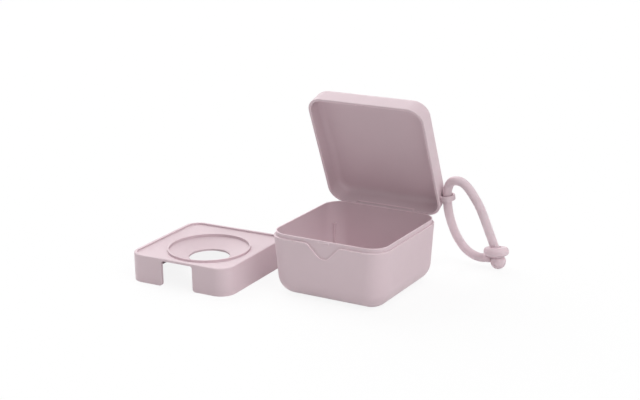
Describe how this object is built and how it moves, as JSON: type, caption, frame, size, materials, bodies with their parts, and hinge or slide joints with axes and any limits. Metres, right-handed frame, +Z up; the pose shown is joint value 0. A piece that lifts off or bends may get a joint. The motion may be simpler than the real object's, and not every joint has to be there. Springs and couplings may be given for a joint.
{
  "type": "pacifier case",
  "caption": "Square lidded case for pacifiers, shown open: box, hinged lid with a lug, loose insert with a bowl, and a cord strap.",
  "frame": {"origin": "middle of the box's flat underside, on the floor", "axes": "+X to the right along the front, +Y from the front to the hinge, +Z up"},
  "size_m": [0.2079, 0.1389, 0.118],
  "materials": {
    "case": "fine matt moulded polypropylene, dusty pink",
    "pin": "moulded plastic, dusty pink",
    "strap": "matt silicone, dusty pink"
  },
  "bodies": {
    "box": {"base": "case", "hinge_pin": "pin"},
    "lid": {"lid": "case"},
    "strap": {"strap": "strap", "strap_eyelet": "strap", "strap_ball": "strap"},
    "insert": {"insert": "case"}
  },
  "joints": [
    {"name": "lid_hinge", "type": "hinge", "parent": "box", "child": "lid", "pos_m": [0, 0.04135, 0.03903], "axis": [1, 0, 0], "range_deg": [-40.06, 67.94]},
    {"name": "strap_swing", "type": "hinge", "parent": "lid", "child": "strap", "pos_m": [0.04381, 0.04089, 0.05302], "axis": [-0.0149, 0.1268, -0.9918], "range_deg": [-30, 60]},
    {"name": "insert_lift", "type": "slide", "parent": "box", "child": "insert", "axis": [0, 0, 1], "range_m": [0, 0.06]}
  ]
}
